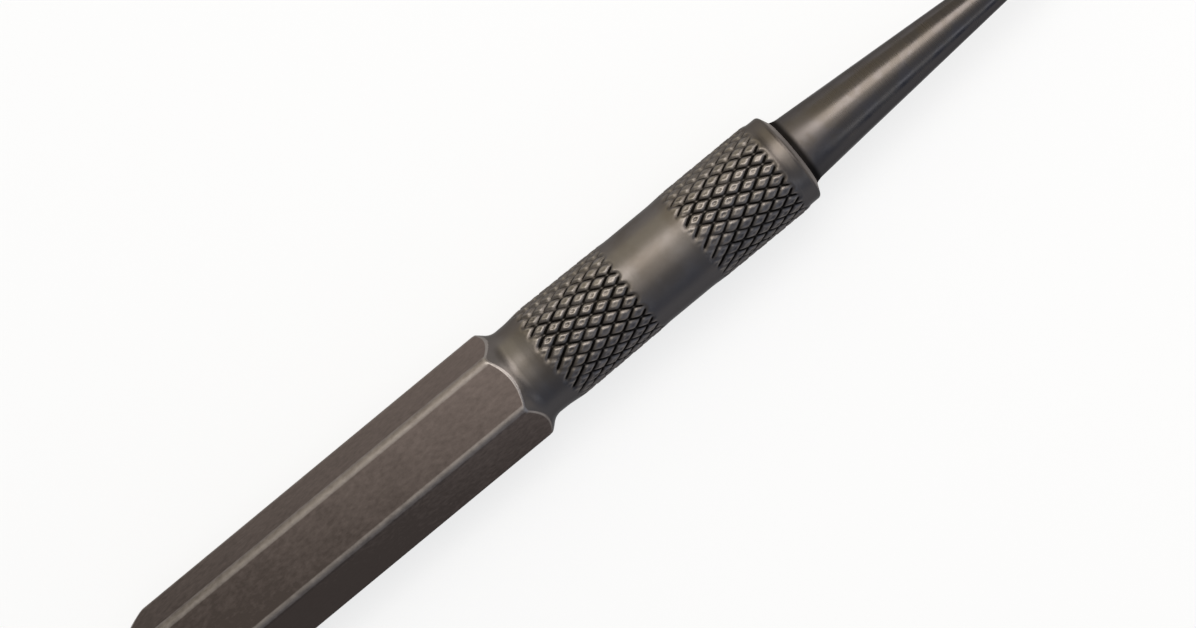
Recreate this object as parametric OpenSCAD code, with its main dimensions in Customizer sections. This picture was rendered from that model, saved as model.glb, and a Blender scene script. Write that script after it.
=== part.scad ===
// Nail setter: a hexagonal punch body with a diamond-knurled grip and a tapered, cupped point.
// The point has a round tang that is pressed into a blind socket in the front of the body.
// The tool lies on one of its hexagon flats, with its axis along X and its tip towards +X.

/* [Hexagon shank] */
// Width of the hexagon across its flats
hex_af = 9.525; // [8:0.025:12]
// Radius of the six rounded ridges
ridge_r = 0.7; // [0.1:0.05:1.2]
// Length from the striking face to the front corners of the hexagon
hex_len = 39.65; // [25:0.05:80]
// Diameter of the flat striking face, before its rim is rounded
strike_face_d = 8.4; // [6:0.1:9]
// Length of the chamfer behind the striking face
strike_chamfer_len = 2.6; // [1:0.05:6]
// Radius of the rim of the striking face
strike_rim_r = 0.5; // [0.1:0.05:1]
// Angle of the chamfer at the front of the hexagon, from the axis
front_chamfer_angle = 42; // [35:1:60]

/* [Grip] */
// Depth of the turned grip below the hexagon flats
neck_relief = 0.33; // [0.2:0.01:0.8]
// Radius that blends the front chamfer into the neck
neck_blend_r = 1.5; // [0.3:0.1:2]
// Length from the front corners of the hexagon to the rear knurl
neck_len = 2.95; // [2.5:0.05:12]
// Length of the plain waist between the two knurls
waist_len = 5.5; // [2:0.05:20]
// Length of the plain collar from the front knurl to the seat of the point
collar_len = 1.85; // [1.2:0.05:6]
// Depth of the collar below the neck
collar_relief = 0.05; // [0:0.01:0.1]
// Radius of the front edge of the collar
front_edge_r = 0.35; // [0.1:0.05:0.6]
// Angle of the front face of the collar, from square to the axis
front_face_angle = 25; // [10:1:30]

/* [Knurl] */
// Number of grooves of each hand around the grip
knurl_groove_count = 23; // [16:1:32]
// Number of rows of diamonds in the rear knurl
rear_rows = 10; // [6:1:16]
// Number of rows of diamonds in the front knurl
front_rows = 10; // [6:1:16]
// Distance along the axis from one row of diamonds to the next
knurl_row_pitch = 1.035; // [0.8:0.005:1.6]
// Height of the diamonds above the neck
knurl_rise = 0.12; // [0.05:0.01:0.18]
// Depth of the grooves below the neck
knurl_sink = 0.2; // [0.1:0.01:0.35]
// Length over which the diamonds run out at each end of a knurl
knurl_runout = 0.3; // [0.15:0.05:0.6]
// Rows over which the grooves reach their full depth from the rear end
knurl_fade_rows = 3; // [1:1:5]

/* [Point] */
// Diameter of the tip
tip_d = 1.5875; // [0.8:0.0125:4]
// Diameter of the taper at the seat, without its flare
root_d = 6.36; // [4.5:0.01:7]
// Length of the point from its seat to the tip
point_len = 33.75; // [15:0.05:60]
// Height of the flare at the root of the point
root_flare = 0.165; // [0.05:0.005:0.4]
// Length of the flare at the root of the point
root_flare_len = 0.3; // [0.15:0.05:0.6]
// Radius that blends the flare into the taper
root_blend_r = 0.8; // [0.2:0.1:0.8]
// Diameter of the cup in the tip
cup_d = 1.1; // [0.4:0.05:1.3]
// Depth of the cup in the tip
cup_depth = 0.25; // [0.1:0.05:0.4]
// Diameter of the tang that holds the point in the body
tang_d = 4; // [2.5:0.1:4.4]
// Length of the tang
tang_len = 10; // [4:0.1:20]
// Length and depth of the chamfer on the end of the tang
tang_chamfer = 0.4; // [0.1:0.05:0.8]

/* [Hidden] */

// Radial clearance between the tang and its socket
tang_fit = 0.01;
// Room between the end of the tang and the bottom of the socket
tang_end_room = 0.5;
// How far the cuts run past the surfaces that they open
overrun = 1;
// Wall between the grooves and the core of a knurl, and again to the inside of its ring
knurl_backing = 0.1;
// Share of a diamond that its flat top takes, across and along
diamond_top_share = 0.62;
// Segments in each rounded corner
arc_steps = 6;
// Segments of the turned surfaces
$fn = 96;

flat_r = hex_af / 2;
corner_r = (flat_r - ridge_r) / cos(30) + ridge_r;
neck_r = flat_r - neck_relief;
collar_r = neck_r - collar_relief;
core_r = neck_r - knurl_sink - knurl_backing;
ring_r = core_r - knurl_backing;
tang_r = tang_d / 2;
root_r = root_d / 2;
seat_r = root_r + root_flare;
tip_r = tip_d / 2;
cup_r = cup_d / 2;
cup_ball_r = (cup_r * cup_r + cup_depth * cup_depth) / (2 * cup_depth);

// Stations along the axis, from the striking face
rear_knurl_z = hex_len + neck_len;
waist_z = rear_knurl_z + rear_rows * knurl_row_pitch;
front_knurl_z = waist_z + waist_len;
collar_z = front_knurl_z + front_rows * knurl_row_pitch;
seat_z = collar_z + collar_len;
tip_z = seat_z + point_len;
point_slope = (root_r - tip_r) / point_len;

function unit(v) = v / norm(v);
function turn(from, to) = let (a = to - from) a > 180 ? a - 360 : a < -180 ? a + 360 : a;
function bearing(v) = atan2(v[1], v[0]);
function polar(r, a, z) = [r * cos(a), r * sin(a), z];

// Points of a corner rounded to radius r, between the points before and after it
function rounded(before, corner, after, r) =
    let (
        u = unit(before - corner),
        w = unit(after - corner),
        half = acos(u * w) / 2,
        centre = corner + unit(u + w) * r / sin(half),
        from = bearing(corner + u * r / tan(half) - centre),
        sweep = turn(from, bearing(corner + w * r / tan(half) - centre))
    )
    [
        for (i = [0 : arc_steps])
            let (a = from + sweep * i / arc_steps)
            centre + r * [cos(a), sin(a)]
    ];

// Hexagon with rounded ridges and two flats square to X
module hex_outline() {
    sharp_r = flat_r / cos(30);
    corners = [for (i = [0 : 5]) sharp_r * [cos(60 * i + 30), sin(60 * i + 30)]];
    polygon([
        for (i = [0 : 5])
            each rounded(corners[(i + 5) % 6], corners[i], corners[(i + 1) % 6], ridge_r)
    ]);
}

// Half outline of the turned body: radius across, distance from the striking face up
module body_outline() {
    strike_r = strike_face_d / 2;
    wide_r = corner_r + overrun;
    strike_slope = strike_chamfer_len / (corner_r - strike_r);
    chamfer_slope = 1 / tan(front_chamfer_angle);
    strike_edge = [strike_r, 0];
    strike_wide = [wide_r, strike_chamfer_len + (wide_r - corner_r) * strike_slope];
    chamfer_wide = [wide_r, hex_len - (wide_r - corner_r) * chamfer_slope];
    neck_corner = [neck_r, hex_len + (corner_r - neck_r) * chamfer_slope];
    seat_edge = [seat_r, seat_z];
    front_corner = [collar_r, seat_z - (collar_r - seat_r) * tan(front_face_angle)];
    polygon(concat(
        [[0, 0]],
        rounded([0, 0], strike_edge, strike_wide, strike_rim_r),
        [strike_wide, chamfer_wide],
        rounded(chamfer_wide, neck_corner, [neck_r, rear_knurl_z], neck_blend_r),
        [
            [neck_r, rear_knurl_z],
            [core_r, rear_knurl_z],
            [core_r, waist_z],
            [neck_r, waist_z],
            [neck_r, front_knurl_z],
            [core_r, front_knurl_z],
            [core_r, collar_z],
            [collar_r, collar_z]
        ],
        rounded([collar_r, collar_z], front_corner, seat_edge, front_edge_r),
        [seat_edge, [0, seat_z]]
    ));
}

// Ring of diamonds that starts at distance z, with the given number of rows.
// Groove crossings and diamonds alternate around each row, a diamond being lowest in the first. The first and last rows hold half diamonds.
// Past them the ring runs on inside the neck, the waist or the collar.
module knurl_ring(z, rows) {
    count = knurl_groove_count;
    step = 360 / count;
    top = diamond_top_share;
    end_r = neck_r - knurl_sink;
    function share(row) = min(1, (row + 1) / knurl_fade_rows);
    function groove_r(row) = neck_r - knurl_sink * share(row);
    function crest_r(row) = neck_r + knurl_rise * share(row);
    function row_z(row) = z + row * knurl_row_pitch;
    function groove_turn(row, i) = (i + (row % 2) / 2 - 1 / 2) * step;
    function crest_turn(row, i) = (i + ((row + 1) % 2) / 2 - 1 / 2) * step;

    // Each place around a row has five points: its crossing, then the diamond's tip towards the
    // striking face, its two sides, and its tip towards the point
    place_count = 5;
    row_points = [
        for (row = [0 : rows], i = [0 : count - 1]) each [
            polar(groove_r(row), groove_turn(row, i), row_z(row)),
            polar(crest_r(row), crest_turn(row, i), row_z(max(0, row - top))),
            polar(crest_r(row), crest_turn(row, i) - top * step / 2, row_z(row)),
            polar(crest_r(row), crest_turn(row, i) + top * step / 2, row_z(row)),
            polar(crest_r(row), crest_turn(row, i), row_z(min(rows, row + top)))
        ]
    ];
    function at(row, i, k) = (row * count + (i + count) % count) * place_count + k;
    function below(row, i) = at(row, row % 2 == 0 ? i : i - 1, 0);
    function above(row, i) = at(row, row % 2 == 0 ? i + 1 : i, 0);
    function rear_tip(row, i) = at(row, i, 1);
    function low_side(row, i) = at(row, i, 2);
    function high_side(row, i) = at(row, i, 3);
    function front_tip(row, i) = at(row, i, 4);

    rear_halves = [
        for (row = [1 : rows], i = [0 : count - 1]) each [
            [rear_tip(row, i), low_side(row, i), high_side(row, i)],
            [at(row - 1, i, 0), below(row, i), low_side(row, i)],
            [at(row - 1, i, 0), low_side(row, i), rear_tip(row, i)],
            [at(row - 1, i, 0), high_side(row, i), above(row, i)],
            [at(row - 1, i, 0), rear_tip(row, i), high_side(row, i)]
        ]
    ];
    front_halves = [
        for (row = [0 : rows - 1], i = [0 : count - 1]) each [
            [front_tip(row, i), high_side(row, i), low_side(row, i)],
            [at(row + 1, i, 0), low_side(row, i), below(row, i)],
            [at(row + 1, i, 0), front_tip(row, i), low_side(row, i)],
            [at(row + 1, i, 0), above(row, i), high_side(row, i)],
            [at(row + 1, i, 0), high_side(row, i), front_tip(row, i)]
        ]
    ];

    // The rim of an end row is a loop of crossings and sides, three for each diamond.
    // Its points return at the ring's end, outside and inside.
    rim_count = 3;
    loop = rim_count * count;
    function rim(row) = [
        for (i = [0 : count - 1]) each [below(row, i), low_side(row, i), high_side(row, i)]
    ];
    function rim_turns(row) = [
        for (i = [0 : count - 1])
            let (a = crest_turn(row, i))
            each [a - step / 2, a - top * step / 2, a + top * step / 2]
    ];
    function end_loop(row, r, end_z) = [for (a = rim_turns(row)) polar(r, a, end_z)];
    rear_z = z - knurl_runout;
    front_z = row_z(rows) + knurl_runout;
    first = len(row_points);
    rear_out = [for (i = [0 : loop - 1]) first + i];
    rear_in = [for (i = [0 : loop - 1]) first + loop + i];
    front_out = [for (i = [0 : loop - 1]) first + 2 * loop + i];
    front_in = [for (i = [0 : loop - 1]) first + 3 * loop + i];
    function band(lower, upper) = [
        for (i = [0 : loop - 1])
            let (j = (i + 1) % loop)
            each [[lower[i], upper[i], upper[j]], [lower[i], upper[j], lower[j]]]
    ];
    polyhedron(
        points = concat(
            row_points,
            end_loop(0, end_r, rear_z),
            end_loop(0, ring_r, rear_z),
            end_loop(rows, end_r, front_z),
            end_loop(rows, ring_r, front_z)
        ),
        faces = concat(
            rear_halves,
            front_halves,
            band(rear_out, rim(0)),
            band(rim(rows), front_out),
            band(front_out, front_in),
            band(front_in, rear_in),
            band(rear_in, rear_out)
        ),
        convexity = 4
    );
}

// Half outline of the point and its tang
module point_outline() {
    tang_end_z = seat_z - tang_len;
    flare_end = [root_r - point_slope * root_flare_len, seat_z + root_flare_len];
    polygon(concat(
        [
            [0, tang_end_z],
            [tang_r - tang_chamfer, tang_end_z],
            [tang_r, tang_end_z + tang_chamfer],
            [tang_r, seat_z],
            [seat_r, seat_z]
        ],
        rounded([seat_r, seat_z], flare_end, [tip_r, tip_z], root_blend_r),
        [[tip_r, tip_z], [0, tip_z]]
    ));
}

// Turns a piece built upwards from the striking face to where the tool lies
module lay_down() {
    translate([-tip_z / 2, 0, flat_r]) rotate([0, 90, 0]) children();
}

module hex_body() {
    color([0.38, 0.35, 0.33])
        lay_down()
            difference() {
                union() {
                    intersection() {
                        linear_extrude(seat_z) hex_outline();
                        rotate_extrude() body_outline();
                    }
                    knurl_ring(rear_knurl_z, rear_rows);
                    knurl_ring(front_knurl_z, front_rows);
                }
                translate([0, 0, seat_z - tang_len - tang_end_room])
                    cylinder(r = tang_r + tang_fit, h = tang_len + tang_end_room + overrun);
            }
}

module tapered_point() {
    color([0.42, 0.39, 0.37])
        lay_down()
            difference() {
                rotate_extrude() point_outline();
                translate([0, 0, tip_z - cup_depth + cup_ball_r]) sphere(cup_ball_r);
            }
}

hex_body();
tapered_point();
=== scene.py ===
import math

import bmesh
import bpy
from bpy.props import FloatProperty, FloatVectorProperty, IntProperty, PointerProperty
from mathutils import Matrix, Vector, noise


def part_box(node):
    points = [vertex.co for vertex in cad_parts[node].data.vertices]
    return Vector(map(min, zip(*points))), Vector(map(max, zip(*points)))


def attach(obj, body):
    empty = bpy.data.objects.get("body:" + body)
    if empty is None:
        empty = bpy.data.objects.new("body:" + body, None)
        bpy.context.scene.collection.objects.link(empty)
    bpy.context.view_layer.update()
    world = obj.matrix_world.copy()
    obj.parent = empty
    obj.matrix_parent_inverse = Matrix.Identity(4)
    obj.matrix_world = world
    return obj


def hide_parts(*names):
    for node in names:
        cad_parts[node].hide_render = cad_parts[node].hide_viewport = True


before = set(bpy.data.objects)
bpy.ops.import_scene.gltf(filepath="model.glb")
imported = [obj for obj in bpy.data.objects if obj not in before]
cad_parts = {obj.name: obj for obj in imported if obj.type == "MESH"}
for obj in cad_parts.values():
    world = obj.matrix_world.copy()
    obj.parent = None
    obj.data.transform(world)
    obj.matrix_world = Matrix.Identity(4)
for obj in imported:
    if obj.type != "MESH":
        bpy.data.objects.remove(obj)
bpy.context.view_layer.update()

bl_info = {
    "name": "Nail setter",
    "version": (1, 0, 0),
    "blender": (4, 5, 0),
    "location": "View3D > Sidebar > Nail setter",
    "description": "Turns, mills and knurls a nail setter on its packed solids and lights it in a studio",
    "category": "Add Mesh",
}

BODY_NODE = "hex_body"
POINT_NODE = "tapered_point"
BODY_LOW, BODY_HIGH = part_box(BODY_NODE)
_, POINT_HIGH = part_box(POINT_NODE)
MM = 0.001

# The tool lies along X. Stations are measured along it from the striking face,
# and turns about it from underneath, towards +Y.
STRIKE_X = BODY_LOW.x
AXIS_Z = (BODY_LOW.z + BODY_HIGH.z) / 2
FLAT_R = (BODY_HIGH.z - BODY_LOW.z) / 2
SEAT = BODY_HIGH.x - STRIKE_X
TIP = POINT_HIGH.x - STRIKE_X
HEX_SIDES = 6
HALF_SIDE = math.pi / HEX_SIDES
# From a groove to the middle of a diamond, as a share of the pitch
HALF_GROOVE = 0.5
# How far past the arc of a ridge its wear fades out, as a share of half that arc
WEAR_SPREAD_SHARE = 1.5
# Wear of the edges between the flats and the chamfers, and how much more of it is painted towards the lit
# +Y side as painted light
CHAMFER_EDGE_WEAR = 5.4
CHAMFER_EDGE_PAINTED_LIGHT = 3.3
# Steps through the noise from one groove or diamond to the next, and across a groove
NOISE_STEP = 0.7
NOISE_ACROSS = 0.2
RIGHT_SEED = 0
LEFT_SEED = 9
# Vertices closer than this are one
MERGE_DISTANCE = 1e-7
PHOTO_WIDTH = 1196


def size(name, description, millimetres):
    return FloatProperty(
        name=name, description=description, default=millimetres * MM, unit="LENGTH", precision=5
    )


def share(name, description, default):
    return FloatProperty(
        name=name, description=description, default=default, min=0, max=1, subtype="FACTOR"
    )


def angle(name, description, degrees):
    return FloatProperty(
        name=name, description=description, default=math.radians(degrees), subtype="ANGLE"
    )


def number(name, description, default):
    return FloatProperty(name=name, description=description, default=default)


def count(name, description, default):
    return IntProperty(name=name, description=description, default=default, min=1)


def colour(name, description, default):
    return FloatVectorProperty(
        name=name, description=description, default=default, subtype="COLOR", size=3, min=0, max=1
    )


class ShankSettings(bpy.types.PropertyGroup):
    hex_len: size("Hexagon length", "Striking face to the front corners of the hexagon", 39.65)
    ridge_r: size("Ridge radius", "Radius of the six rounded ridges", 0.8)
    strike_face_r: size("Striking face radius", "Radius of the striking face to its sharp rim", 4.2)
    strike_chamfer_len: size("Striking chamfer", "Length of the chamfer behind the striking face", 2.6)
    strike_rim_r: size("Striking rim", "Radius of the rim of the striking face", 0.5)
    front_chamfer_angle: angle("Front chamfer", "Angle of the front chamfer from the axis", 42)
    # Painted light and shade: the flats' edges are worn more on the lit +Y side and less on the shaded -Y
    # side, over the real wear of the ridges
    edge_wear_and_painted_light: share("Edge wear", "Wear of the ridges, and of the flats' edges on the +Y side", 0.55)
    top_edge_wear: share("Top edge wear", "Wear of the edges of the top flat", 0.64)
    painted_shade_edge_wear: share("Far edge wear", "Wear of the flats' edges on the -Y side", 0.1)
    overhang: size("Overhang", "How far the bar stands over the ridges before it is milled", 0.5)
    edge_blend: size("Edge blend", "Height over which a chamfer rounds into the flats", 0.13)
    ridge_gather: share("Ridge gathering", "How much closer the mesh columns lie along the ridges", 0.5)


class GripSettings(bpy.types.PropertyGroup):
    neck_r: size("Neck radius", "Radius of the neck and the waist", 4.4325)
    neck_dip: size("Neck dip", "How much slimmer the neck is beside the hexagon", 0.03)
    neck_blend_r: size("Neck blend", "Radius that blends the front chamfer into the neck", 1.5)
    neck_len: size("Neck length", "Front corners of the hexagon to the rear knurl", 2.95)
    waist_len: size("Waist length", "Plain waist between the two knurls", 5.5)
    collar_r: size("Collar radius", "Radius of the collar in front of the knurls", 4.3825)
    front_edge_r: size("Front edge", "Radius of the front edge of the collar", 0.4)
    front_face_angle: angle("Front face", "Slope of the collar's front face, from square to the axis", 25)
    seat_r: size("Seat radius", "Radius where the front face meets the point", 3.345)
    seat_edge_r: size("Seat edge", "Radius of the edge around the point's seat", 0.06)
    # Painted highlight: the collar's front face is made bright as bare steel
    face_painted_highlight: share("Face wear", "How bright the front face of the collar is worn", 0.9)
    socket_r: size("Socket radius", "Radius of the socket that holds the tang", 2.01)
    socket_len: size("Socket length", "Depth of the socket", 10.5)


class KnurlSettings(bpy.types.PropertyGroup):
    grooves: count("Grooves", "Number of grooves of each hand", 23)
    rear_rows: count("Rear rows", "Rows of diamonds in the rear knurl", 10)
    front_rows: count("Front rows", "Rows of diamonds in the front knurl", 10)
    row_pitch: size("Row pitch", "Distance along the axis from one row of diamonds to the next", 1.035)
    rear_rise: size("Rear rise", "Height of the rear knurl's diamonds where they are fullest", 0.2)
    waist_rise: size("Waist rise", "Height of the rear knurl's diamonds beside the waist", 0.06)
    front_rise: size("Front rise", "Height of the front knurl's diamonds", 0.1)
    sink: size("Sink", "Depth of the grooves below the neck", 0.15)
    groove_share: share("Groove share", "Half width of a groove as a share of the pitch", 0.26)
    dimple: size("Dimple", "Depth of the dimple in each diamond", 0.06)
    dimple_variety: number("Dimple variety", "How much the depth of the dimples varies", 1.5)
    rim_share: share("Rim share", "From a groove to the inside of a diamond's rim, of the pitch", 0.3)
    # Painted light: the crossings of the grooves are left lighter, as they see more of the sky
    crossing_painted_light: number("Crossing rub", "How much cleaner of grime the crossings of the grooves are", 1.9)
    swell_lead: size("Swell lead", "How far behind a knurl the bar starts to swell", 0.55)
    swell_len: size("Swell length", "Length over which the bar swells to the diamonds' height", 2.4)
    groove_start: size("Groove start", "Start of the grooves, from the knurl's rear end", 0.75)
    fade_len: size("Fade", "Length over which the right-hand grooves gain their full depth", 0.5)
    left_fade_len: size("Left-hand fade", "How much longer the left-hand grooves take for that", 1.4)
    groove_end: size("Groove end", "Length over which the grooves end, up to the knurl's front end", 0.5)
    rim_wear: share("Rim wear", "How bright the rims of the diamonds are worn", 0.5)
    left_share: share("Left-hand share", "Depth of the left-hand grooves, of the right-hand ones", 0.9)
    runout: size("Run-out", "Length from the front knurl to the plain collar", 0.25)
    unevenness: share("Unevenness", "How much the depth of the grooves varies", 0.45)
    steps: count("Steps", "Mesh steps from one groove to the next", 14)


class PointSettings(bpy.types.PropertyGroup):
    root_r: size("Root radius", "Radius of the taper at its seat", 3.18)
    flare: size("Flare", "Height of the hollow flare at the root", 0.15)
    flare_len: size("Flare length", "Length of the hollow flare at the root", 0.8)
    # Painted shade: the dark ring at the point's root stands for the shade in the crease at its seat
    ring_len: size("Scale ring", "Length of the darkest part of the ring of scale at the root", 0.267)
    tip_r: size("Tip radius", "Radius of the tip", 0.79375)
    tip_rim_r: size("Tip rim", "Radius of the outer rim of the tip", 0.08)
    cup_r: size("Cup radius", "Radius of the cup in the tip", 0.55)
    cup_depth: size("Cup depth", "Depth of the cup in the tip", 0.25)
    tang_r: size("Tang radius", "Radius of the tang", 2.0)
    tang_len: size("Tang length", "Length of the tang in the socket", 10.0)
    columns: count("Columns", "Mesh columns around the point", 160)


class FinishSettings(bpy.types.PropertyGroup):
    # The film is lighter towards the grip, and painted lighter on the +Y side, where the light falls
    film_fade_start: size("Rub start", "Station where the film on the top flat starts to be rubbed thin", 8.0)
    film_fade_len: size("Rub length", "Length over which that film would be rubbed off", 54.0)
    painted_side_light: share("Rub of the side", "How much more the film is rubbed on the +Y side", 0.36)
    film: colour("Film", "Brown-grey heat-treated film on the flats", (0.066, 0.053, 0.048))
    # Lighter film, towards the grip and, as painted light, on the +Y side
    film_lighter: colour("Thin film", "Film where it is rubbed thin", (0.172, 0.139, 0.127))
    turned: colour("Turned steel", "Steel of the neck, the waist and the collar", (0.120, 0.107, 0.100))
    point: colour("Point steel", "Steel of the point", (0.104, 0.092, 0.087))
    point_straw: colour("Point straw tint", "Yellower patches on the point", (0.094, 0.081, 0.071))
    # Painted shade: the point's sides, away from its highlight, are painted darker
    point_painted_shade: colour("Point blue tint", "Darker sides of the point", (0.049, 0.046, 0.048))
    root_len: size("Rough root", "Length over which the root of the point is rougher", 5.0)
    straw: colour("Straw tint", "Yellower tint in patches of the turned steel", (0.102, 0.088, 0.078))
    # Painted shade: turned steel is painted darker on the -Y side, away from the light
    painted_side_shade: colour("Blue tint", "Darker turned steel on the -Y side", (0.064, 0.060, 0.062))
    # Bare steel also makes the painted highlight on the collar's front face and the edges painted lighter
    # on the +Y side
    bare: colour("Bare steel", "Steel where edges are worn bright", (0.25, 0.225, 0.21))
    film_roughness: share("Film roughness", "Roughness of the film on the flats", 0.54)
    turned_roughness: share("Turned roughness", "Roughness of the turned steel of the grip", 0.32)
    point_roughness: share("Point roughness", "Roughness of the point where it is smoothest", 0.175)
    body_grain: size("Body grain", "Height of the fine grain on the body", 0.006)
    point_grain: size("Point grain", "Height of the fine rings on the point", 0.004)
    # Painted shade: the dark colour of the knurl's grooves and of the ring at the point's root
    painted_groove_shade: colour("Grime", "Oil and scale left in the grooves", (0.004, 0.0035, 0.003))


class StageSettings(bpy.types.PropertyGroup):
    camera_tilt: angle("Camera tilt", "Tilt of the view about the tool, from straight down", 4.2)
    camera_turn: angle("Camera turn", "Angle of the tool in the picture, from level", 39.53)
    camera_distance: size("Camera distance", "Camera to the tool's axis", 145.0)
    aim: size("Aim", "Station of the tool that faces the camera squarely", 56.94)
    pixel: size("Pixel", "Size of one picture pixel at the tool's axis", 0.0857)
    centre: size("Centre", "Station of the tool at the middle of the picture", 49.04)
    floor_reach: size("Floor reach", "How far the floor goes on each side of the tool", 3000.0)
    floor: colour("Floor", "Colour of the plain floor", (0.80, 0.80, 0.80))
    floor_glow: share("Floor glow", "Share of plain white that the camera and metal see", 0.75)
    sky_warm: colour("Warm side", "Light of the studio from the +Y side", (1.0, 0.96, 0.79))
    sky_front: colour("Front side", "Light of that side towards +X", (0.25, 0.235, 0.21))
    sky_rear: colour("Rear side", "Light of the studio from the -X side", (0.18, 0.172, 0.165))
    sky_cool: colour("Cool side", "Light of the studio from the -Y side", (0.22, 0.25, 0.315))
    sky_strength: number("Sky strength", "Strength of the studio's light from all sides", 1.7)
    key_colour: colour("Key colour", "Colour of the soft box beside the tool", (1.0, 0.98, 0.96))
    key_radiance: number("Key radiance", "Brightness of the soft box beside the tool", 4.1)
    fill_colour: colour("Fill colour", "Colour of the low soft box on the cool side", (0.84, 0.92, 1.0))
    fill_radiance: number("Fill radiance", "Brightness of the low soft box on the cool side", 1.2)
    front_radiance: number("Front radiance", "Brightness of the soft box in front of the tip", 3.0)
    top_colour: colour("Top colour", "Colour of the soft box above the tool", (1.0, 1.0, 1.0))
    top_radiance: number("Top radiance", "Brightness of the soft box above the tool", 1.0)


GROUPS = {
    "shank": ShankSettings,
    "grip": GripSettings,
    "knurl": KnurlSettings,
    "point": PointSettings,
    "finish": FinishSettings,
    "stage": StageSettings,
}


class NailSetterSettings(bpy.types.PropertyGroup):
    shank: PointerProperty(type=ShankSettings)
    grip: PointerProperty(type=GripSettings)
    knurl: PointerProperty(type=KnurlSettings)
    point: PointerProperty(type=PointSettings)
    finish: PointerProperty(type=FinishSettings)
    stage: PointerProperty(type=StageSettings)


# Outlines in station and radius


def rounded(before, corner, after, radius, steps):
    """Points of a corner rounded to a radius, between the points before and after it."""
    before, corner, after = Vector(before), Vector(corner), Vector(after)
    inward = (before - corner).normalized()
    onward = (after - corner).normalized()
    half = inward.angle(onward) / 2
    centre = corner + (inward + onward).normalized() * radius / math.sin(half)
    first = corner + inward * radius / math.tan(half) - centre
    last = corner + onward * radius / math.tan(half) - centre
    sweep = first.angle_signed(last)
    return [centre + Matrix.Rotation(-sweep * i / steps, 2) @ first for i in range(steps + 1)]


def run(start, end, steps):
    """Evenly spaced points on a straight line, without its start."""
    start, end = Vector(start), Vector(end)
    return [start.lerp(end, i / steps) for i in range(1, steps + 1)]


def turn_on_lathe(bm, outline, columns):
    """Spins an outline of stations and radii about the axis into a closed skin."""
    ring = [bm.verts.new((STRIKE_X + station, 0, AXIS_Z - radius)) for station, radius in outline]
    edges = [bm.edges.new(pair) for pair in zip(ring, ring[1:])]
    bmesh.ops.spin(
        bm,
        geom=ring + edges,
        cent=(0, 0, AXIS_Z),
        axis=(1, 0, 0),
        angle=2 * math.pi,
        steps=columns,
        use_merge=True,
    )
    bmesh.ops.remove_doubles(bm, verts=bm.verts, dist=MERGE_DISTANCE)
    bmesh.ops.recalc_face_normals(bm, faces=bm.faces)


def lathe_place(vert):
    """Station, radius and turn of a vertex."""
    across, down = vert.co.y, AXIS_Z - vert.co.z
    return vert.co.x - STRIKE_X, math.hypot(across, down), math.atan2(across, down)


def put_on_lathe(vert, station, radius, turn):
    vert.co = (STRIKE_X + station, radius * math.sin(turn), AXIS_Z - radius * math.cos(turn))


def eased(low, high, value):
    """Rises smoothly from 0 at low to 1 at high."""
    t = min(1, max(0, (value - low) / (high - low)))
    return t * t * (3 - 2 * t)


def finished_piece(bm, name, node, material):
    """Makes the object of a finished mesh, in the place of its CAD node."""
    mesh = bpy.data.meshes.new(name)
    for face in bm.faces:
        face.smooth = True
    bm.to_mesh(mesh)
    bm.free()
    mesh.materials.append(material)
    piece = bpy.data.objects.new(name, mesh)
    bpy.context.scene.collection.objects.link(piece)
    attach(piece, "root")
    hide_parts(node)


# Body


def knurl_bands(settings):
    """First and last stations of the rear and the front knurl, and their heights there."""
    grip, knurl = settings.grip, settings.knurl
    rear = settings.shank.hex_len + grip.neck_len
    waist = rear + knurl.rear_rows * knurl.row_pitch
    front = waist + grip.waist_len
    collar = front + knurl.front_rows * knurl.row_pitch
    return (
        (rear, waist, knurl.rear_rise, knurl.waist_rise),
        (front, collar, knurl.front_rise, knurl.front_rise),
    )


def hex_radius(turn, shank):
    """Radius of the rounded hexagon at a turn, and how worn the ridge is there, from 0 to 1."""
    ridge_r = shank.ridge_r
    from_flat = abs((turn + HALF_SIDE) % (2 * HALF_SIDE) - HALF_SIDE)
    from_ridge = HALF_SIDE - from_flat
    inner = FLAT_R - ridge_r
    ridge_starts = math.atan2(inner * math.tan(HALF_SIDE), FLAT_R)
    half_arc = HALF_SIDE - ridge_starts
    # Painted light and shade: the flats' edges are worn more on the lit +Y side than on the shaded -Y side
    flat_wear = shank.edge_wear_and_painted_light if math.sin(turn) > 0 else shank.painted_shade_edge_wear
    if abs(turn) > math.pi - HALF_SIDE:
        flat_wear = shank.top_edge_wear
    wear = shank.edge_wear_and_painted_light + (flat_wear - shank.edge_wear_and_painted_light) * eased(0, half_arc / 2, from_ridge)
    wear *= eased(WEAR_SPREAD_SHARE * half_arc, half_arc, from_ridge)
    if from_flat < ridge_starts:
        return FLAT_R / math.cos(from_flat), wear
    centre = inner / math.cos(HALF_SIDE)
    depth = math.sqrt(ridge_r ** 2 - (centre * math.sin(from_ridge)) ** 2)
    return centre * math.cos(from_ridge) + depth, wear


def blended_least(first, second, width):
    """The lesser of two radii, rounded where they cross, and the share of the first in it."""
    mix = min(1, max(0, 0.5 + (second - first) / (2 * width)))
    return second + (first - second) * mix - width * mix * (1 - mix), mix


def front_corner(grip):
    """Station and radius of the collar's front corner before it is rounded."""
    return SEAT - (grip.collar_r - grip.seat_r) * math.tan(grip.front_face_angle), grip.collar_r


# Mesh steps along the stretches of the body's outline
FACE_STEPS = 3
STRIKE_RIM_STEPS = 6
STRIKE_CHAMFER_STEPS = 34
SHANK_STEPS = 6
OVERHANG_STEPS = 2
FRONT_CHAMFER_STEPS = 20
BLEND_STEPS = 10
NECK_STEPS = 12
WAIST_STEPS = 24
RUNOUT_STEPS = 3
COLLAR_STEPS = 2
FRONT_EDGE_STEPS = 8
FRONT_FACE_STEPS = 3
SEAT_EDGE_STEPS = 4
SEAT_STEPS = 2


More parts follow.
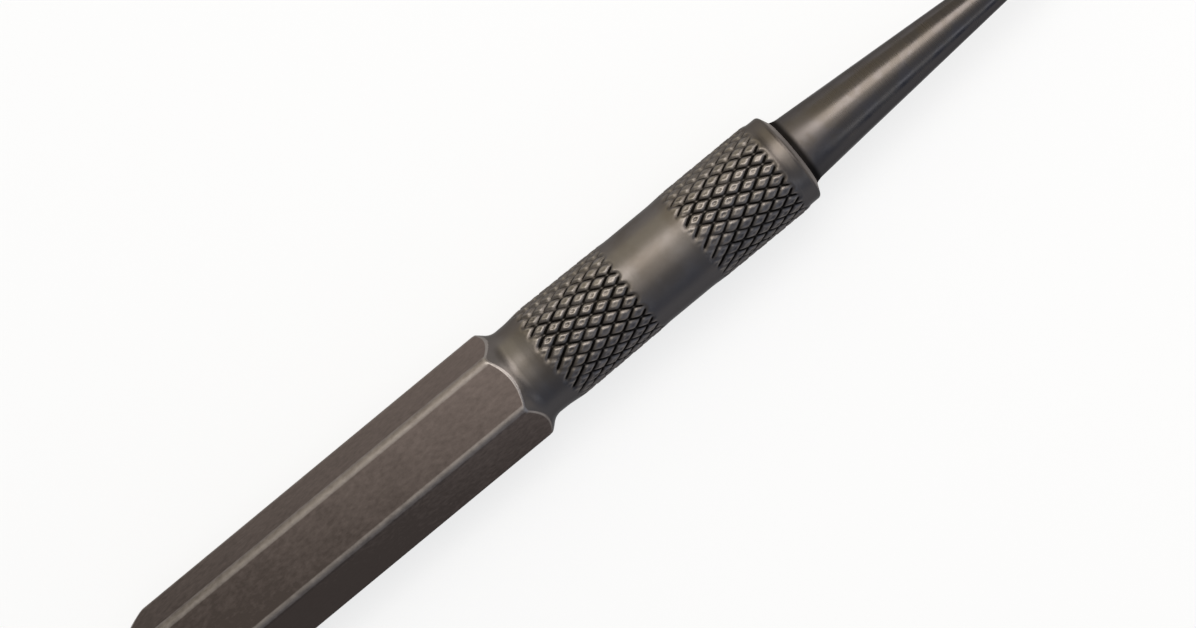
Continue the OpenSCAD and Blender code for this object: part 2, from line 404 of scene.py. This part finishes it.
def body_outline(settings):
    """Outline of the turned bar before its flats are milled, from the striking face to the socket."""
    shank, grip, knurl = settings.shank, settings.grip, settings.knurl
    corner_r, _ = hex_radius(HALF_SIDE, shank)
    wide_r = corner_r + shank.overhang
    strike_slope = shank.strike_chamfer_len / (corner_r - shank.strike_face_r)
    chamfer_slope = 1 / math.tan(shank.front_chamfer_angle)
    dip_r = grip.neck_r - grip.neck_dip
    (rear, waist, _, _), (front, collar, _, _) = knurl_bands(settings)
    strike_edge = (0, shank.strike_face_r)
    strike_wide = (shank.strike_chamfer_len + shank.overhang * strike_slope, wide_r)
    chamfer_wide = (shank.hex_len - shank.overhang * chamfer_slope, wide_r)
    chamfer_top = (shank.hex_len, corner_r)
    neck_corner = (shank.hex_len + (corner_r - dip_r) * chamfer_slope, dip_r)
    collar_start = (collar + knurl.runout, grip.collar_r)
    corner = front_corner(grip)
    seat_edge = (SEAT, grip.seat_r)
    socket_edge = (SEAT, grip.socket_r)
    socket_end = SEAT - grip.socket_len
    half_steps = knurl.steps // 2

    rim = rounded((0, 0), strike_edge, strike_wide, shank.strike_rim_r, STRIKE_RIM_STEPS)
    blend = rounded(chamfer_wide, neck_corner, (rear, grip.neck_r), grip.neck_blend_r, BLEND_STEPS)
    edge = rounded(collar_start, corner, seat_edge, grip.front_edge_r, FRONT_EDGE_STEPS)
    seat = rounded(corner, seat_edge, socket_edge, grip.seat_edge_r, SEAT_EDGE_STEPS)
    outline = [Vector((0, 0))]
    outline += run((0, 0), rim[0], FACE_STEPS)
    outline += rim[1:]
    outline += run(rim[-1], strike_wide, STRIKE_CHAMFER_STEPS)
    outline += run(strike_wide, chamfer_wide, SHANK_STEPS)
    outline += run(chamfer_wide, chamfer_top, OVERHANG_STEPS)
    outline += run(chamfer_top, blend[0], FRONT_CHAMFER_STEPS)
    outline += blend[1:]
    outline += run(blend[-1], (rear, grip.neck_r), NECK_STEPS)
    outline += run((rear, grip.neck_r), (waist, grip.neck_r), knurl.rear_rows * half_steps)
    outline += run((waist, grip.neck_r), (front, grip.neck_r), WAIST_STEPS)
    outline += run((front, grip.neck_r), (collar, grip.neck_r), knurl.front_rows * half_steps)
    outline += run((collar, grip.neck_r), collar_start, RUNOUT_STEPS)
    outline += run(collar_start, edge[0], COLLAR_STEPS)
    outline += edge[1:]
    outline += run(edge[-1], seat[0], FRONT_FACE_STEPS)
    outline += seat[1:]
    outline += run(seat[-1], socket_edge, SEAT_STEPS)
    outline += run(socket_edge, (socket_end, grip.socket_r), 1)
    outline += run((socket_end, grip.socket_r), (socket_end, 0), 1)
    return outline


def groove_depth(phase, width, unevenness, seed):
    """How deep a place is in the nearest groove of one hand, from 0 on the diamonds to 1 at the bottom."""
    nearest = round(phase)
    lift = noise.noise(Vector((nearest * NOISE_STEP, phase * NOISE_ACROSS, seed)))
    depth = 1 - unevenness * (1 + lift) / 2
    return depth * max(0, 1 - abs(phase - nearest) / width)


def knurl_height(station, turn, bands, knurl):
    """Height of the knurl over the plain bar, how much painted shade its grooves take there and how worn
    it is, each from 0 to 1.
    """
    for first, last, first_rise, last_rise in bands:
        swell_start = first - knurl.swell_lead
        if not swell_start < station < last + knurl.swell_lead:
            continue
        ending = 1 - eased(last - knurl.groove_end, last, station)
        along = (station - first) / (2 * knurl.row_pitch)
        around = knurl.grooves * turn / (2 * math.pi) + HALF_GROOVE
        start = first + knurl.groove_start
        left_full = start + knurl.fade_len + knurl.left_fade_len * (1 - math.sin(turn))
        right_hand = groove_depth(around + along, knurl.groove_share, knurl.unevenness, RIGHT_SEED)
        left_hand = groove_depth(around - along, knurl.groove_share, knurl.unevenness, LEFT_SEED)
        right_hand *= eased(start, start + knurl.fade_len, station)
        left_hand *= knurl.left_share * eased(start, left_full, station)
        groove = ending * (right_hand + left_hand - right_hand * left_hand)
        # Painted shade in the grooves, left lighter where they cross and see more of the sky
        painted_groove_shade = ending * (right_hand + left_hand - knurl.crossing_painted_light * right_hand * left_hand)
        inside = min(abs(phase - round(phase)) for phase in (around + along, around - along))
        swell = eased(swell_start, swell_start + knurl.swell_len, station)
        swell *= 1 - eased(last - knurl.swell_lead, last + knurl.swell_lead, station)
        rise = swell * (first_rise + (last_rise - first_rise) * (station - first) / (last - first))
        cut = ending * eased(start, start + knurl.fade_len, station)
        diamond = Vector((math.floor(around + along), math.floor(around - along), HALF_GROOVE))
        dimple = cut * max(0, inside - knurl.rim_share) / (HALF_GROOVE - knurl.rim_share)
        dimple *= 1 + knurl.dimple_variety * noise.noise(NOISE_STEP * diamond)
        rim = cut * eased(0, knurl.groove_share, inside) * (1 - dimple)
        height = rise - (rise + knurl.sink) * groove - knurl.dimple * dimple
        return height, painted_groove_shade, rim
    return 0, 0, 0


class NAILSETTER_OT_body(bpy.types.Operator):
    """Turn the body from the bar, mill its six flats and roll its two knurls"""

    bl_idname = "nailsetter.body"
    bl_label = "Body"

    def execute(self, context):
        settings = context.scene.nail_setter
        shank, grip, knurl = settings.shank, settings.grip, settings.knurl
        bands = knurl_bands(settings)
        bm = bmesh.new()
        turn_on_lathe(bm, body_outline(settings), knurl.grooves * knurl.steps)
        layers = bm.verts.layers.float
        turned, wear, groove = layers.new("turned"), layers.new("wear"), layers.new("groove")
        rough, side = layers.new("rough"), layers.new("side")
        neck_middle = bands[0][0] - grip.neck_len / 2
        face_start = front_corner(grip)[0] - grip.front_edge_r
        for vert in bm.verts:
            station, radius, turn = lathe_place(vert)
            vert[turned] = 1
            vert[side] = math.sin(turn) * eased(0, shank.strike_rim_r, station)
            # Painted highlight: the collar's front face is made bare and bright
            if station > face_start:
                vert[rough] = eased(grip.collar_r, grip.collar_r - grip.front_edge_r, radius)
                vert[wear] = grip.face_painted_highlight * vert[rough]
            if radius < grip.seat_r:
                continue
            if station < neck_middle:
                gather = shank.ridge_gather * (1 - eased(shank.hex_len, neck_middle, station))
                turn += gather * math.sin(HEX_SIDES * turn) / HEX_SIDES
                flat, ridge = hex_radius(turn, shank)
                radius, vert[turned] = blended_least(radius, flat, shank.edge_blend)
                # Painted light: the chamfer edges are worn more towards the lit +Y side
                edge_wear_and_painted_light = CHAMFER_EDGE_WEAR + CHAMFER_EDGE_PAINTED_LIGHT * vert[side]
                crossing = min(1, edge_wear_and_painted_light * vert[turned] * (1 - vert[turned]))
                vert[wear] = max(crossing, ridge * (1 - vert[turned]))
            # The groove attribute carries the grooves' painted shade
            height, vert[groove], rim = knurl_height(station, turn, bands, knurl)
            vert[wear] = max(vert[wear], knurl.rim_wear * rim)
            put_on_lathe(vert, station, radius + height, turn)
        bmesh.ops.recalc_face_normals(bm, faces=bm.faces)
        finished_piece(bm, "punch_body", BODY_NODE, body_steel(settings.finish))
        return {"FINISHED"}


# Point


# Mesh steps along the stretches of the point's outline
FLARE_STEPS = 14
TAPER_STEPS = 40
TIP_RIM_STEPS = 6
TIP_FACE_STEPS = 2
CUP_STEPS = 10


def point_outline(point):
    """Outline of the point, from the end of its tang to the middle of its cup."""
    tang_end = SEAT - point.tang_len
    slope = (point.root_r - point.tip_r) / (TIP - SEAT)
    flare_end = (SEAT + point.flare_len, point.root_r - slope * point.flare_len)
    tip_edge = (TIP, point.tip_r)
    cup_edge = (TIP, point.cup_r)
    ball_r = (point.cup_r ** 2 + point.cup_depth ** 2) / (2 * point.cup_depth)
    half_cup = math.asin(point.cup_r / ball_r)
    rim = rounded(flare_end, tip_edge, cup_edge, point.tip_rim_r, TIP_RIM_STEPS)
    outline = [Vector((tang_end, 0))]
    outline += run((tang_end, 0), (tang_end, point.tang_r), 1)
    outline += run((tang_end, point.tang_r), (SEAT, point.tang_r), 1)
    for i in range(FLARE_STEPS + 1):
        t = i / FLARE_STEPS
        station = t * point.flare_len
        radius = point.root_r - slope * station + point.flare * (1 - t) ** 2
        outline.append(Vector((SEAT + station, radius)))
    outline += run(flare_end, rim[0], TAPER_STEPS)
    outline += rim[1:]
    outline += run(rim[-1], cup_edge, TIP_FACE_STEPS)
    for i in range(1, CUP_STEPS + 1):
        from_axis = half_cup * (1 - i / CUP_STEPS)
        rise = ball_r * (1 - math.cos(from_axis))
        outline.append(Vector((TIP - point.cup_depth + rise, ball_r * math.sin(from_axis))))
    return outline


class NAILSETTER_OT_point(bpy.types.Operator):
    """Turn the tapered point with its tang and its cupped tip"""

    bl_idname = "nailsetter.point"
    bl_label = "Point"

    def execute(self, context):
        settings = context.scene.nail_setter
        point = settings.point
        bm = bmesh.new()
        turn_on_lathe(bm, point_outline(point), point.columns)
        groove = bm.verts.layers.float.new("groove")
        side = bm.verts.layers.float.new("side")
        for vert in bm.verts:
            station, _, turn = lathe_place(vert)
            vert[side] = math.sin(turn) * eased(TIP, TIP - point.tip_rim_r, station)
            # Painted shade: the ring at the point's root is darkened
            vert[groove] = eased(SEAT + point.flare_len, SEAT + point.ring_len, station)
        finished_piece(bm, "cupped_point", POINT_NODE, point_steel(settings.finish))
        return {"FINISHED"}


# Finishes


class Wire:
    """A node's output. Python's operators on it add Math nodes."""

    def __init__(self, graph, socket):
        self.graph = graph
        self.socket = socket

    def out(self, name):
        """Another output of the same node."""
        return Wire(self.graph, self.socket.node.outputs[name])

    def _math(self, operation, first, second):
        return self.graph.node("ShaderNodeMath", {"operation": operation}, {0: first, 1: second})

    def __add__(self, other):
        return self._math("ADD", self, other)

    def __radd__(self, other):
        return self._math("ADD", other, self)

    def __sub__(self, other):
        return self._math("SUBTRACT", self, other)

    def __rsub__(self, other):
        return self._math("SUBTRACT", other, self)

    def __mul__(self, other):
        return self._math("MULTIPLY", self, other)

    def __rmul__(self, other):
        return self._math("MULTIPLY", other, self)


class Graph:
    """The nodes of one material or of the world."""

    def __init__(self, tree):
        self.tree = tree
        tree.nodes.clear()

    def node(self, kind, settings=None, inputs=None, output=0):
        made = self.tree.nodes.new(kind)
        for name, value in (settings or {}).items():
            setattr(made, name, value)
        for key, value in (inputs or {}).items():
            if isinstance(value, Wire):
                self.tree.links.new(value.socket, made.inputs[key])
            else:
                made.inputs[key].default_value = value
        return Wire(self, made.outputs[output]) if made.outputs else None

    def rise(self, value, low, high):
        """0 below low, 1 above high and smooth between."""
        return self.node(
            "ShaderNodeMapRange",
            {"interpolation_type": "SMOOTHSTEP"},
            {"Value": value, "From Min": low, "From Max": high},
        )

    def blend(self, factor, first, second):
        """A colour between two colours."""
        factor_in, first_in, second_in, colour_out = 0, 6, 7, 2
        return self.node(
            "ShaderNodeMix",
            {"data_type": "RGBA"},
            {factor_in: factor, first_in: first, second_in: second},
            colour_out,
        )

    def noise(self, place, scale, detail):
        return self.node("ShaderNodeTexNoise", None, {"Vector": place, "Scale": scale, "Detail": detail})

    def stretched(self, place, factors):
        return self.node("ShaderNodeVectorMath", {"operation": "MULTIPLY"}, {0: place, 1: factors})

    def attribute(self, name):
        return self.node("ShaderNodeAttribute", {"attribute_name": name}).out("Fac")


# Keeps the film dull where it is seen at a low angle
EDGE_TINT = (0.5, 0.5, 0.5, 1.0)
# How fine the patterns of the finishes are, in waves to the metre, and their detail
PATCH_SCALE, PATCH_DETAIL = 250.0, 3.0
POINT_PATCH_SCALE, POINT_PATCH_DETAIL = 500.0, 4.0
MOTTLE_SCALE, MOTTLE_DETAIL = 3000.0, 3.0
DRAWN_SCALE, DRAWN_DETAIL = 4000.0, 2.0
LATHE_SCALE, LATHE_DETAIL = 6000.0, 2.0
# How dense the patterns are along X, Y and Z
MOTTLE_STRETCH = (0.6, 1.0, 1.0)
DRAWN_STRETCH = (0.03, 1.0, 1.0)
LATHE_STRETCH = (1.0, 0.02, 0.02)
# Middle of a pattern's range, and the range in which its patches have their edges
PATTERN_MIDDLE = 0.5
PATCH_EDGE = (0.4, 0.6)
# Heat tint and painted shade: edge of the straw patches, where the painted shade on the -Y side starts and
# ends, and how ragged that is
STRAW_EDGE = (0.42, 0.62)
PAINTED_SHADE_SIDE = (-0.4, -0.8)
PAINTED_SHADE_RAGGED = 0.5
# Speckle of the film: share of broad patches in it, and its strength
SPECKLE_PATCH_SHARE = 0.25
SPECKLE = 1.1
# Wear of the edges: its even part, its mottle and its patches, and the range in which steel is bared
WEAR_EVEN, WEAR_MOTTLE, WEAR_PATCHES = 0.35, 0.7, 0.6
WEAR_RANGE = (0.1, 1.0)
# Depth at which the grooves are painted dark as shade, and how much deeper that is on the +Y side, which
# is painted lighter as the light falls there
PAINTED_GROOVE_RANGE = (0.31, 0.6)
PAINTED_LIT_SIDE = (0.4, 0.9)
PAINTED_LIT_DEPTH = 0.25
# What wear takes from the roughness, and what mottle, the grooves and the collar's front face add to it
WEAR_POLISH = 0.12
MOTTLE_ROUGHNESS = 0.08
GROOVE_ROUGHNESS = 0.2
FACE_ROUGHNESS = 0.4
# Shares of the drawn lines and of the lathe's rings in the body's grain
DRAWN_SHARE = 0.6
LATHE_SHARE = 0.7
# Upper side of the point that is darker, and by how much
POINT_SHADED_SIDE = (0.45, 0.9)
POINT_SHADE = 0.4
# What patches, rings, the dark ring and the root add to the point's roughness, and how dark that ring's
# painted shade is
POINT_PATCH_ROUGHNESS = 0.07
POINT_LATHE_ROUGHNESS = 0.06
ROOT_RING_ROUGHNESS = 0.3
ROOT_ROUGHNESS = 0.26
ROOT_PAINTED_SHADE = 0.85


def rgba(colour_property):
    return (*colour_property, 1.0)


def new_steel(name):
    material = bpy.data.materials.new(name)
    material.use_nodes = True
    graph = Graph(material.node_tree)
    place = graph.node("ShaderNodeTexCoord").out("Object")
    return material, graph, place


def coat_with(graph, base, roughness, height, distance):
    """Ends a material in a metal shader with a bumped surface."""
    normal = graph.node(
        "ShaderNodeBump", None, {"Height": height, "Distance": distance, "Strength": 1.0}
    )
    shader = graph.node(
        "ShaderNodeBsdfPrincipled",
        None,
        {
            "Base Color": base,
            "Metallic": 1.0,
            "Roughness": roughness,
            "Specular Tint": EDGE_TINT,
            "Normal": normal,
        },
    )
    graph.node("ShaderNodeOutputMaterial", None, {"Surface": shader})


def tempered(graph, side, patches, plain, straw, painted_side_shade):
    """Colour of turned steel, with its patches of heat tint and painted shade on the -Y side."""
    warm = graph.blend(graph.rise(patches, *STRAW_EDGE), rgba(plain), rgba(straw))
    painted_side_mask = graph.rise(side + (patches - PATTERN_MIDDLE) * PAINTED_SHADE_RAGGED, *PAINTED_SHADE_SIDE)
    return graph.blend(painted_side_mask, warm, rgba(painted_side_shade))


def body_steel(finish):
    """Satin film on drawn flats, turned and rolled steel on the grip, worn edges and grooves painted dark
    as shade, with painted light on the +Y side and painted shade on the -Y side.
    """
    material, graph, place = new_steel("body_steel")
    turned = graph.attribute("turned")
    wear = graph.attribute("wear")
    groove = graph.attribute("groove")
    rough = graph.attribute("rough")
    side = graph.attribute("side")
    patches = graph.noise(place, PATCH_SCALE, PATCH_DETAIL)
    mottle = graph.noise(graph.stretched(place, MOTTLE_STRETCH), MOTTLE_SCALE, MOTTLE_DETAIL)
    drawn = graph.noise(graph.stretched(place, DRAWN_STRETCH), DRAWN_SCALE, DRAWN_DETAIL)
    lathe = graph.noise(graph.stretched(place, LATHE_STRETCH), LATHE_SCALE, LATHE_DETAIL)

    # The film is lighter towards the grip, and painted lighter on the +Y side, where the light falls
    from_start = graph.node("ShaderNodeSeparateXYZ", None, {0: place}) - (STRIKE_X + finish.film_fade_start)
    lightened = from_start * (1 / finish.film_fade_len) + side * finish.painted_side_light
    grain = patches * SPECKLE_PATCH_SHARE + mottle * (1 - SPECKLE_PATCH_SHARE)
    speckle = (grain - PATTERN_MIDDLE) * SPECKLE
    film = graph.blend(lightened + speckle, rgba(finish.film), rgba(finish.film_lighter))
    # Turned steel, painted darker on the -Y side as shade
    grip_steel = tempered(graph, side, patches, finish.turned, finish.straw, finish.painted_side_shade)
    steel = graph.blend(turned, film, grip_steel)
    # Wear, with painted light in it: more on the lit +Y side and a painted highlight on the collar's front
    # face
    ragged_wear = wear * (WEAR_EVEN + mottle * WEAR_MOTTLE + patches * WEAR_PATCHES)
    worn = graph.rise(ragged_wear, *WEAR_RANGE)
    steel = graph.blend(worn, steel, rgba(finish.bare))
    # Grooves painted dark as shade, and painted lighter on the +Y side, where the light falls
    painted_lit_side_lift = graph.rise(side, *PAINTED_LIT_SIDE) * PAINTED_LIT_DEPTH
    painted_groove_mask = graph.rise(groove - painted_lit_side_lift, *PAINTED_GROOVE_RANGE)
    base = graph.blend(painted_groove_mask, steel, rgba(finish.painted_groove_shade))

    roughness = finish.film_roughness - turned * (finish.film_roughness - finish.turned_roughness)
    roughness = roughness - worn * WEAR_POLISH + mottle * MOTTLE_ROUGHNESS
    roughness = roughness + groove * GROOVE_ROUGHNESS + rough * FACE_ROUGHNESS
    flat_grain = mottle + drawn * DRAWN_SHARE
    turned_grain = lathe * LATHE_SHARE + mottle * (1 - LATHE_SHARE)
    height = (1 - turned) * flat_grain + turned * turned_grain
    coat_with(graph, base, roughness, height, finish.body_grain)
    return material


def point_steel(finish):
    """Turned steel with fine rings, patches of straw tint, painted shade on its sides and a dark ring of
    painted shade at its root.
    """
    material, graph, place = new_steel("point_steel")
    groove = graph.attribute("groove")
    side = graph.attribute("side")
    patches = graph.noise(place, POINT_PATCH_SCALE, POINT_PATCH_DETAIL)
    lathe = graph.noise(graph.stretched(place, LATHE_STRETCH), LATHE_SCALE, LATHE_DETAIL)

    from_seat = graph.node("ShaderNodeSeparateXYZ", None, {0: place}) - BODY_HIGH.x
    root = graph.rise(from_seat, finish.root_len, 0)
    # Painted shade on the point's -Y side
    steel = tempered(graph, side, patches, finish.point, finish.point_straw, finish.point_painted_shade)
    shade = graph.rise(side, *POINT_SHADED_SIDE) * POINT_SHADE
    shaded = graph.blend(shade, steel, rgba(finish.point_painted_shade))
    # Painted shade: the ring at the point's root is darkened
    base = graph.blend(groove * ROOT_PAINTED_SHADE, shaded, rgba(finish.painted_groove_shade))
    roughness = finish.point_roughness + graph.rise(patches, *PATCH_EDGE) * POINT_PATCH_ROUGHNESS
    roughness = roughness + lathe * POINT_LATHE_ROUGHNESS + groove * ROOT_RING_ROUGHNESS
    roughness = roughness + root * ROOT_ROUGHNESS
    coat_with(graph, base, roughness, lathe, finish.point_grain)
    return material


# Stage


# Direction of each soft box from the tool, its distance, width and height
KEY_BOX = ((0.25, 0.40, 0.92), 0.45, 0.36, 0.21)
TOP_BOX = ((0.14, -0.12, 1.0), 0.50, 0.28, 0.26)
FRONT_BOX = ((0.88, 0.20, 0.42), 0.50, 0.30, 0.30)
FILL_BOX = ((0.42, -0.83, 0.40), 0.50, 0.30, 0.08)
# Where the light of one side of the studio turns into that of the next, along X, Y and X
FRONT_TURN = (0.0, 0.35)
SIDE_TURN = (-0.95, 0.75)
REAR_TURN = (-0.12, -0.42)
NEAREST_SEEN = 0.01


def add_soft_box(name, aim, direction, distance, width, height, radiance, tint):
    """A rectangular light of the given radiance that faces the tool, its width level."""
    lamp = bpy.data.lights.new(name, "AREA")
    lamp.shape = "RECTANGLE"
    lamp.size = width
    lamp.size_y = height
    lamp.energy = radiance * math.pi * width * height
    lamp.color = tint
    light = bpy.data.objects.new(name, lamp)
    towards = Vector(direction).normalized()
    light.location = aim + towards * distance
    light.rotation_euler = towards.to_track_quat("Z", "Y").to_euler()
    bpy.context.scene.collection.objects.link(light)


class NAILSETTER_OT_stage(bpy.types.Operator):
    """Set the floor, the lights and the camera"""

    bl_idname = "nailsetter.stage"
    bl_label = "Stage"

    def execute(self, context):
        stage = context.scene.nail_setter.stage
        self.lay_floor(stage)
        self.light_world(context.scene, stage)
        middle = Vector((STRIKE_X + stage.centre, 0, AXIS_Z))
        boxes = (
            ("key_light", KEY_BOX, stage.key_radiance, stage.key_colour),
            ("top_light", TOP_BOX, stage.top_radiance, stage.top_colour),
            ("front_light", FRONT_BOX, stage.front_radiance, stage.key_colour),
            ("fill_light", FILL_BOX, stage.fill_radiance, stage.fill_colour),
        )
        for name, box, radiance, tint in boxes:
            add_soft_box(name, middle, *box, radiance, tint)
        self.set_camera(context.scene, stage)
        context.scene.view_settings.view_transform = "Standard"
        return {"FINISHED"}

    def lay_floor(self, stage):
        bm = bmesh.new()
        bmesh.ops.create_grid(bm, x_segments=1, y_segments=1, size=stage.floor_reach)
        mesh = bpy.data.meshes.new("floor")
        bm.to_mesh(mesh)
        bm.free()
        material = bpy.data.materials.new("floor")
        material.use_nodes = True
        graph = Graph(material.node_tree)
        ray = graph.node("ShaderNodeLightPath")
        seen = ray.out("Is Camera Ray") + ray.out("Is Glossy Ray") + ray.out("Is Transmission Ray")
        matt = graph.node("ShaderNodeBsdfDiffuse", None, {"Color": rgba(stage.floor)})
        white = graph.node("ShaderNodeEmission", None, {"Strength": 1.0})
        shader = graph.node("ShaderNodeMixShader", None, {0: seen * stage.floor_glow, 1: matt, 2: white})
        graph.node("ShaderNodeOutputMaterial", None, {"Surface": shader})
        mesh.materials.append(material)
        floor = bpy.data.objects.new("floor", mesh)
        bpy.context.scene.collection.objects.link(floor)

    def light_world(self, scene, stage):
        world = bpy.data.worlds.new("studio")
        world.use_nodes = True
        scene.world = world
        graph = Graph(world.node_tree)
        direction = graph.node("ShaderNodeTexCoord").out("Generated")
        along = graph.node("ShaderNodeSeparateXYZ", None, {0: direction})
        across = along.out("Y")
        warm = graph.blend(graph.rise(along, *FRONT_TURN), rgba(stage.sky_warm), rgba(stage.sky_front))
        sky = graph.blend(graph.rise(across, *SIDE_TURN), rgba(stage.sky_cool), warm)
        sky = graph.blend(graph.rise(along, *REAR_TURN), sky, rgba(stage.sky_rear))
        shader = graph.node("ShaderNodeBackground", None, {"Color": sky, "Strength": stage.sky_strength})
        graph.node("ShaderNodeOutputWorld", None, {"Surface": shader})

    def set_camera(self, scene, stage):
        """Looks down on the tool at the photograph's angle, square to the tool's axis at the aim."""
        along = Vector((1, 0, 0))
        towards = Vector((0, -math.sin(stage.camera_tilt), math.cos(stage.camera_tilt)))
        lower = along.cross(towards)
        right = along * math.cos(stage.camera_turn) + lower * math.sin(stage.camera_turn)
        up = along * math.sin(stage.camera_turn) - lower * math.cos(stage.camera_turn)
        camera = bpy.data.objects.new("camera", bpy.data.cameras.new("camera"))
        facing = Vector((STRIKE_X + stage.aim, 0, AXIS_Z))
        place = Matrix((right, up, towards)).transposed().to_4x4()
        place.translation = facing + towards * stage.camera_distance
        camera.matrix_world = place
        lens = camera.data
        picture_width = PHOTO_WIDTH * stage.pixel
        lens.lens = lens.sensor_width * stage.camera_distance / picture_width
        off_centre = (stage.centre - stage.aim) / picture_width
        lens.shift_x = off_centre * math.cos(stage.camera_turn)
        lens.shift_y = off_centre * math.sin(stage.camera_turn)
        lens.clip_start = NEAREST_SEEN
        scene.collection.objects.link(camera)
        scene.camera = camera


class NAILSETTER_PT_panel(bpy.types.Panel):
    """Lists the nail setter's pieces and their settings"""

    bl_idname = "NAILSETTER_PT_panel"
    bl_label = "Nail setter"
    bl_space_type = "VIEW_3D"
    bl_region_type = "UI"
    bl_category = "Nail setter"

    def draw(self, context):
        settings = context.scene.nail_setter
        for operator in OPERATORS:
            self.layout.operator(operator.bl_idname)
        for name, group in GROUPS.items():
            box = self.layout.box()
            box.label(text=name.capitalize())
            for field in group.__annotations__:
                box.prop(getattr(settings, name), field)


OPERATORS = (NAILSETTER_OT_stage, NAILSETTER_OT_body, NAILSETTER_OT_point)
CLASSES = (*GROUPS.values(), NailSetterSettings, *OPERATORS, NAILSETTER_PT_panel)


def register():
    for cls in CLASSES:
        bpy.utils.register_class(cls)
    bpy.types.Scene.nail_setter = PointerProperty(type=NailSetterSettings)


def unregister():
    del bpy.types.Scene.nail_setter
    for cls in reversed(CLASSES):
        bpy.utils.unregister_class(cls)


def main():
    register()
    bpy.ops.nailsetter.stage()
    bpy.ops.nailsetter.body()
    bpy.ops.nailsetter.point()


if __name__ == "__main__":
    main()
